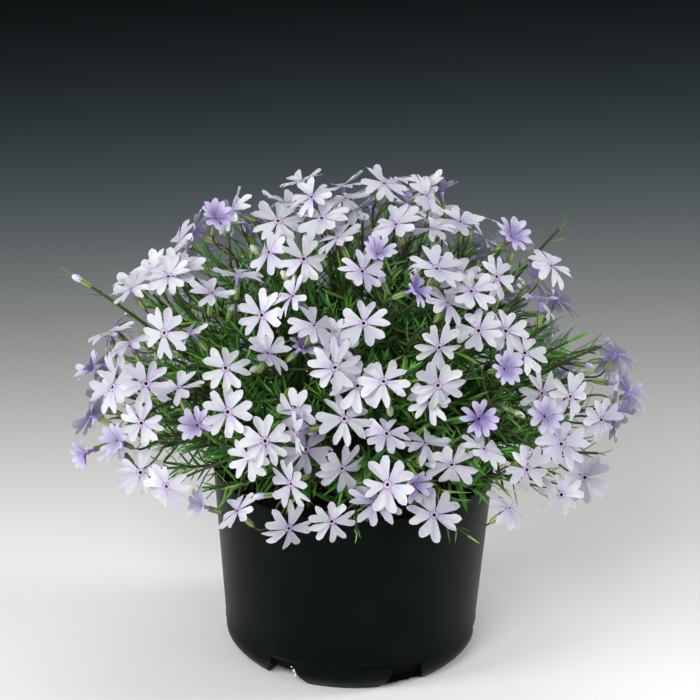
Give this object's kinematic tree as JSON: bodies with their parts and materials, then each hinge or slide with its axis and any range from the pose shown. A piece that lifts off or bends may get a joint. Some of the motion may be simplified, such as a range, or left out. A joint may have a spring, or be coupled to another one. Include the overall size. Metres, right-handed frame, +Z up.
{
  "type": "potted moss phlox plant",
  "caption": "Mound-forming phlox in full bloom with notched five-petal flowers and needle leaves, growing in a black tapered nursery pot with a notched foot.",
  "frame": {"origin": "on the pot's axis at the level of the foot ring that it stands on, which is also the bottom centre of the whole plant's box", "axes": "+Z up out of the pot, +X to the right across the mound's long direction, -Y to the front, where the blooms lean over the rim"},
  "size_m": [0.2623, 0.1968, 0.2281],
  "materials": {
    "black_plastic": "satin",
    "potting_mix": "matte",
    "leaves": "satin",
    "petals": "matte"
  },
  "bodies": {
    "root": {"flower_spray_01": "petals", "flower_spray_02": "petals", "flower_spray_03": "petals", "flower_spray_04": "petals", "flower_spray_05": "petals", "flower_spray_06": "petals", "flower_spray_07": "petals", "flower_spray_08": "petals", "flower_spray_09": "petals", "flower_spray_10": "petals", "flower_spray_11": "petals", "flower_spray_12": "petals", "flower_spray_13": "petals", "flower_spray_14": "petals", "flower_spray_15": "petals", "flower_spray_16": "petals", "flower_spray_17": "petals", "flower_spray_18": "petals", "flower_spray_19": "petals", "flower_spray_20": "petals", "flower_spray_21": "petals", "flower_spray_22": "petals", "flower_spray_23": "petals", "flower_spray_24": "petals", "flower_spray_25": "petals", "flower_spray_26": "petals", "flower_spray_27": "petals", "flower_spray_28": "petals", "flower_spray_29": "petals", "flower_spray_30": "petals", "flower_spray_31": "petals", "flower_spray_32": "petals", "flower_spray_33": "petals", "flower_spray_34": "petals", "flower_spray_35": "petals", "flower_spray_36": "petals", "flower_spray_37": "petals", "flower_spray_38": "petals", "flower_spray_39": "petals", "flower_spray_40": "petals", "flower_spray_41": "petals", "flower_spray_42": "petals", "flower_spray_43": "petals", "foliage": "leaves", "leafy_shoot_01": "leaves", "leafy_shoot_02": "leaves", "leafy_shoot_03": "leaves", "leafy_shoot_04": "leaves", "leafy_shoot_05": "leaves", "leafy_shoot_06": "leaves", "leafy_shoot_07": "leaves", "leafy_shoot_08": "leaves", "pot": "black_plastic", "soil": "potting_mix"}
  },
  "joints": []
}
